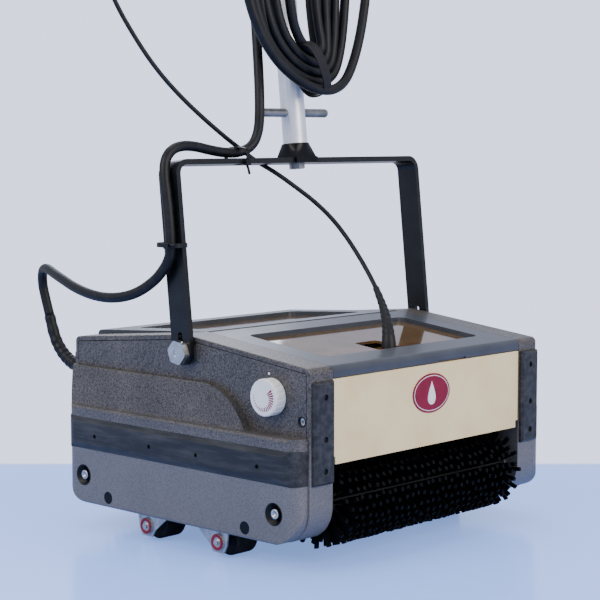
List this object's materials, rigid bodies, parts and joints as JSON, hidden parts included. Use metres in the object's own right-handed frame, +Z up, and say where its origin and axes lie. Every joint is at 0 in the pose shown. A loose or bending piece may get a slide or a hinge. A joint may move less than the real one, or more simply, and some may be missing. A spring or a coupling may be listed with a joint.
{
  "type": "wet dry floor scrubber",
  "caption": "Low walk-behind floor scrubber with contra-rotating cylinder brushes, lift-off window lids, a cream tank, a stirrup handle on side pivots and a hanging mains lead.",
  "frame": {"origin": "on the floor, under the middle of the body", "axes": "+Z up; +X to the right seen from the front panel side looking along +Y; -Y towards the front panel"},
  "size_m": [0.4444, 0.4541, 1.1514],
  "materials": {
    "hammered_paint": "grey hammer-finish enamel on aluminium castings",
    "bail_paint": "satin black powder coat on steel bar",
    "lid_plastic": "fine-grained grey moulded plastic",
    "smoked_pane": "clear smoked acrylic",
    "cream_plastic": "smooth cream moulded plastic",
    "black_rubber": "moulded black rubber",
    "cord_sheath": "satin black rubber sheath",
    "tyre_rubber": "matt black tyre rubber",
    "zinc_steel": "bright zinc plate",
    "steel": "plain machined steel",
    "aluminium_tube": "satin anodised",
    "bristles": "black nylon bristle",
    "white_plastic": "white moulded plastic",
    "black_plastic": "black moulded nylon",
    "red_plastic": "crimson moulded plastic",
    "motor_paint": "dark grey enamel",
    "natural_nylon": "natural machined nylon"
  },
  "bodies": {
    "chassis": {"left_side_casting": "hammered_paint", "right_side_casting": "hammered_paint", "left_side_cover": "hammered_paint", "right_side_cover": "hammered_paint", "side_bumper_strips": "black_rubber", "corner_bumpers": "black_rubber", "bumper_screws": "steel", "cover_screws": "zinc_steel", "cover_plugs": "black_plastic", "ridge_beam": "lid_plastic", "motor_deck": "zinc_steel", "water_tank": "cream_plastic", "valve_bridge": "red_plastic", "dosing_bar": "natural_nylon", "motor_housing": "motor_paint", "drive_belts": "black_rubber", "ball_bearings": "steel", "drum_scraper": "black_rubber", "wheel_brackets": "zinc_steel", "wheel_axles": "zinc_steel", "pivot_bolts": "zinc_steel", "lead_gland": "black_plastic", "lead_relief": "cord_sheath", "motor_lead_lower": "cord_sheath", "cable_boot": "cord_sheath", "control_cable_lower": "cord_sheath"},
    "handle": {"handle_bail": "bail_paint", "tube_socket": "black_plastic", "handle_tube": "aluminium_tube", "handle_pins": "steel", "switch_box": "black_plastic", "hand_grips": "black_rubber", "lever_bracket": "black_plastic", "motor_lead_upper": "cord_sheath", "control_cable_upper": "cord_sheath", "mains_lead": "cord_sheath", "mains_coil": "cord_sheath", "mains_plug": "black_plastic"},
    "switch_rocker": {"switch_rocker": "red_plastic"},
    "water_lever": {"water_lever": "black_plastic"},
    "front_lid": {"front_lid_frame": "lid_plastic", "front_lid_window": "smoked_pane"},
    "waste_tray": {"waste_tray": "cream_plastic"},
    "rear_lid": {"rear_lid_frame": "lid_plastic", "rear_lid_window": "smoked_pane"},
    "dosing_knob": {"dosing_knob": "white_plastic"},
    "water_valve": {"valve_plunger": "natural_nylon"},
    "motor_shaft": {"motor_rotor": "steel", "motor_pulley": "aluminium_tube"},
    "countershaft": {"cluster_gear": "natural_nylon"},
    "front_brush": {"front_brush_roller": "steel", "front_brush_bristles": "bristles"},
    "rear_brush": {"rear_brush_roller": "steel", "rear_brush_bristles": "bristles"},
    "drum": {"pickup_drum": "natural_nylon", "drum_gear": "natural_nylon"},
    "front_left_wheel": {"front_left_wheel": "tyre_rubber"},
    "front_right_wheel": {"front_right_wheel": "tyre_rubber"},
    "rear_left_wheel": {"rear_left_wheel": "tyre_rubber"},
    "rear_right_wheel": {"rear_right_wheel": "tyre_rubber"}
  },
  "joints": [
    {"name": "handle_tilt", "type": "hinge", "parent": "chassis", "child": "handle", "pos_m": [0, -0.004, 0.2155], "axis": [1, 0, 0], "range_deg": [-55, 75]},
    {"name": "front_lid_lift", "type": "slide", "parent": "chassis", "child": "front_lid", "axis": [0, 0, 1], "range_m": [0, 0.04]},
    {"name": "waste_tray_lift", "type": "slide", "parent": "chassis", "child": "waste_tray", "axis": [0, 0, 1], "range_m": [0, 0.1]},
    {"name": "rear_lid_lift", "type": "slide", "parent": "waste_tray", "child": "rear_lid", "axis": [0, 0, 1], "range_m": [0, 0.04]},
    {"name": "dosing_turn", "type": "hinge", "parent": "chassis", "child": "dosing_knob", "pos_m": [-0.2, -0.131, 0.18], "axis": [-1, 0, 0], "range_deg": [0, 270]},
    {"name": "lever_squeeze", "type": "hinge", "parent": "handle", "child": "water_lever", "pos_m": [-0.036, 0.08798, 1.09068], "axis": [0, 0.9945, -0.1045], "range_deg": [0, 11], "stiffness_Nm_per_rad": 1.5, "springref_deg": -8.59},
    {"name": "valve_lift", "type": "slide", "parent": "chassis", "child": "water_valve", "axis": [0, 0, 1], "range_m": [0, 0.008]},
    {"name": "rocker_press", "type": "hinge", "parent": "handle", "child": "switch_rocker", "pos_m": [0, 0.03188, 1.03524], "axis": [1, 0, 0], "range_deg": [0, 18]},
    {"name": "front_brush_spin", "type": "hinge", "parent": "chassis", "child": "front_brush", "pos_m": [0, -0.15, 0.063], "axis": [1, 0, 0], "continuous": true},
    {"name": "rear_brush_spin", "type": "hinge", "parent": "chassis", "child": "rear_brush", "pos_m": [0, 0.15, 0.063], "axis": [1, 0, 0], "continuous": true},
    {"name": "drum_spin", "type": "hinge", "parent": "chassis", "child": "drum", "pos_m": [0, 0.06, 0.084], "axis": [1, 0, 0], "continuous": true},
    {"name": "countershaft_spin", "type": "hinge", "parent": "chassis", "child": "countershaft", "pos_m": [0.17, 0, 0.084], "axis": [1, 0, 0], "continuous": true},
    {"name": "motor_spin", "type": "hinge", "parent": "chassis", "child": "motor_shaft", "pos_m": [0, 0, 0.165], "axis": [1, 0, 0], "continuous": true},
    {"name": "front_left_roll", "type": "hinge", "parent": "chassis", "child": "front_left_wheel", "pos_m": [-0.1705, -0.0564, 0.017], "axis": [1, 0, 0], "continuous": true},
    {"name": "front_right_roll", "type": "hinge", "parent": "chassis", "child": "front_right_wheel", "pos_m": [0.1705, -0.0564, 0.017], "axis": [1, 0, 0], "continuous": true},
    {"name": "rear_left_roll", "type": "hinge", "parent": "chassis", "child": "rear_left_wheel", "pos_m": [-0.1705, 0.0564, 0.017], "axis": [1, 0, 0], "continuous": true},
    {"name": "rear_right_roll", "type": "hinge", "parent": "chassis", "child": "rear_right_wheel", "pos_m": [0.1705, 0.0564, 0.017], "axis": [1, 0, 0], "continuous": true}
  ],
  "couplings": [
    {"joint": "rear_brush_spin", "follows": "front_brush_spin", "ratio": -1},
    {"joint": "drum_spin", "follows": "front_brush_spin", "ratio": -1},
    {"joint": "countershaft_spin", "follows": "front_brush_spin", "ratio": 1},
    {"joint": "motor_spin", "follows": "front_brush_spin", "ratio": 3},
    {"joint": "valve_lift", "follows": "lever_squeeze", "m_per_rad": 0.0416}
  ]
}
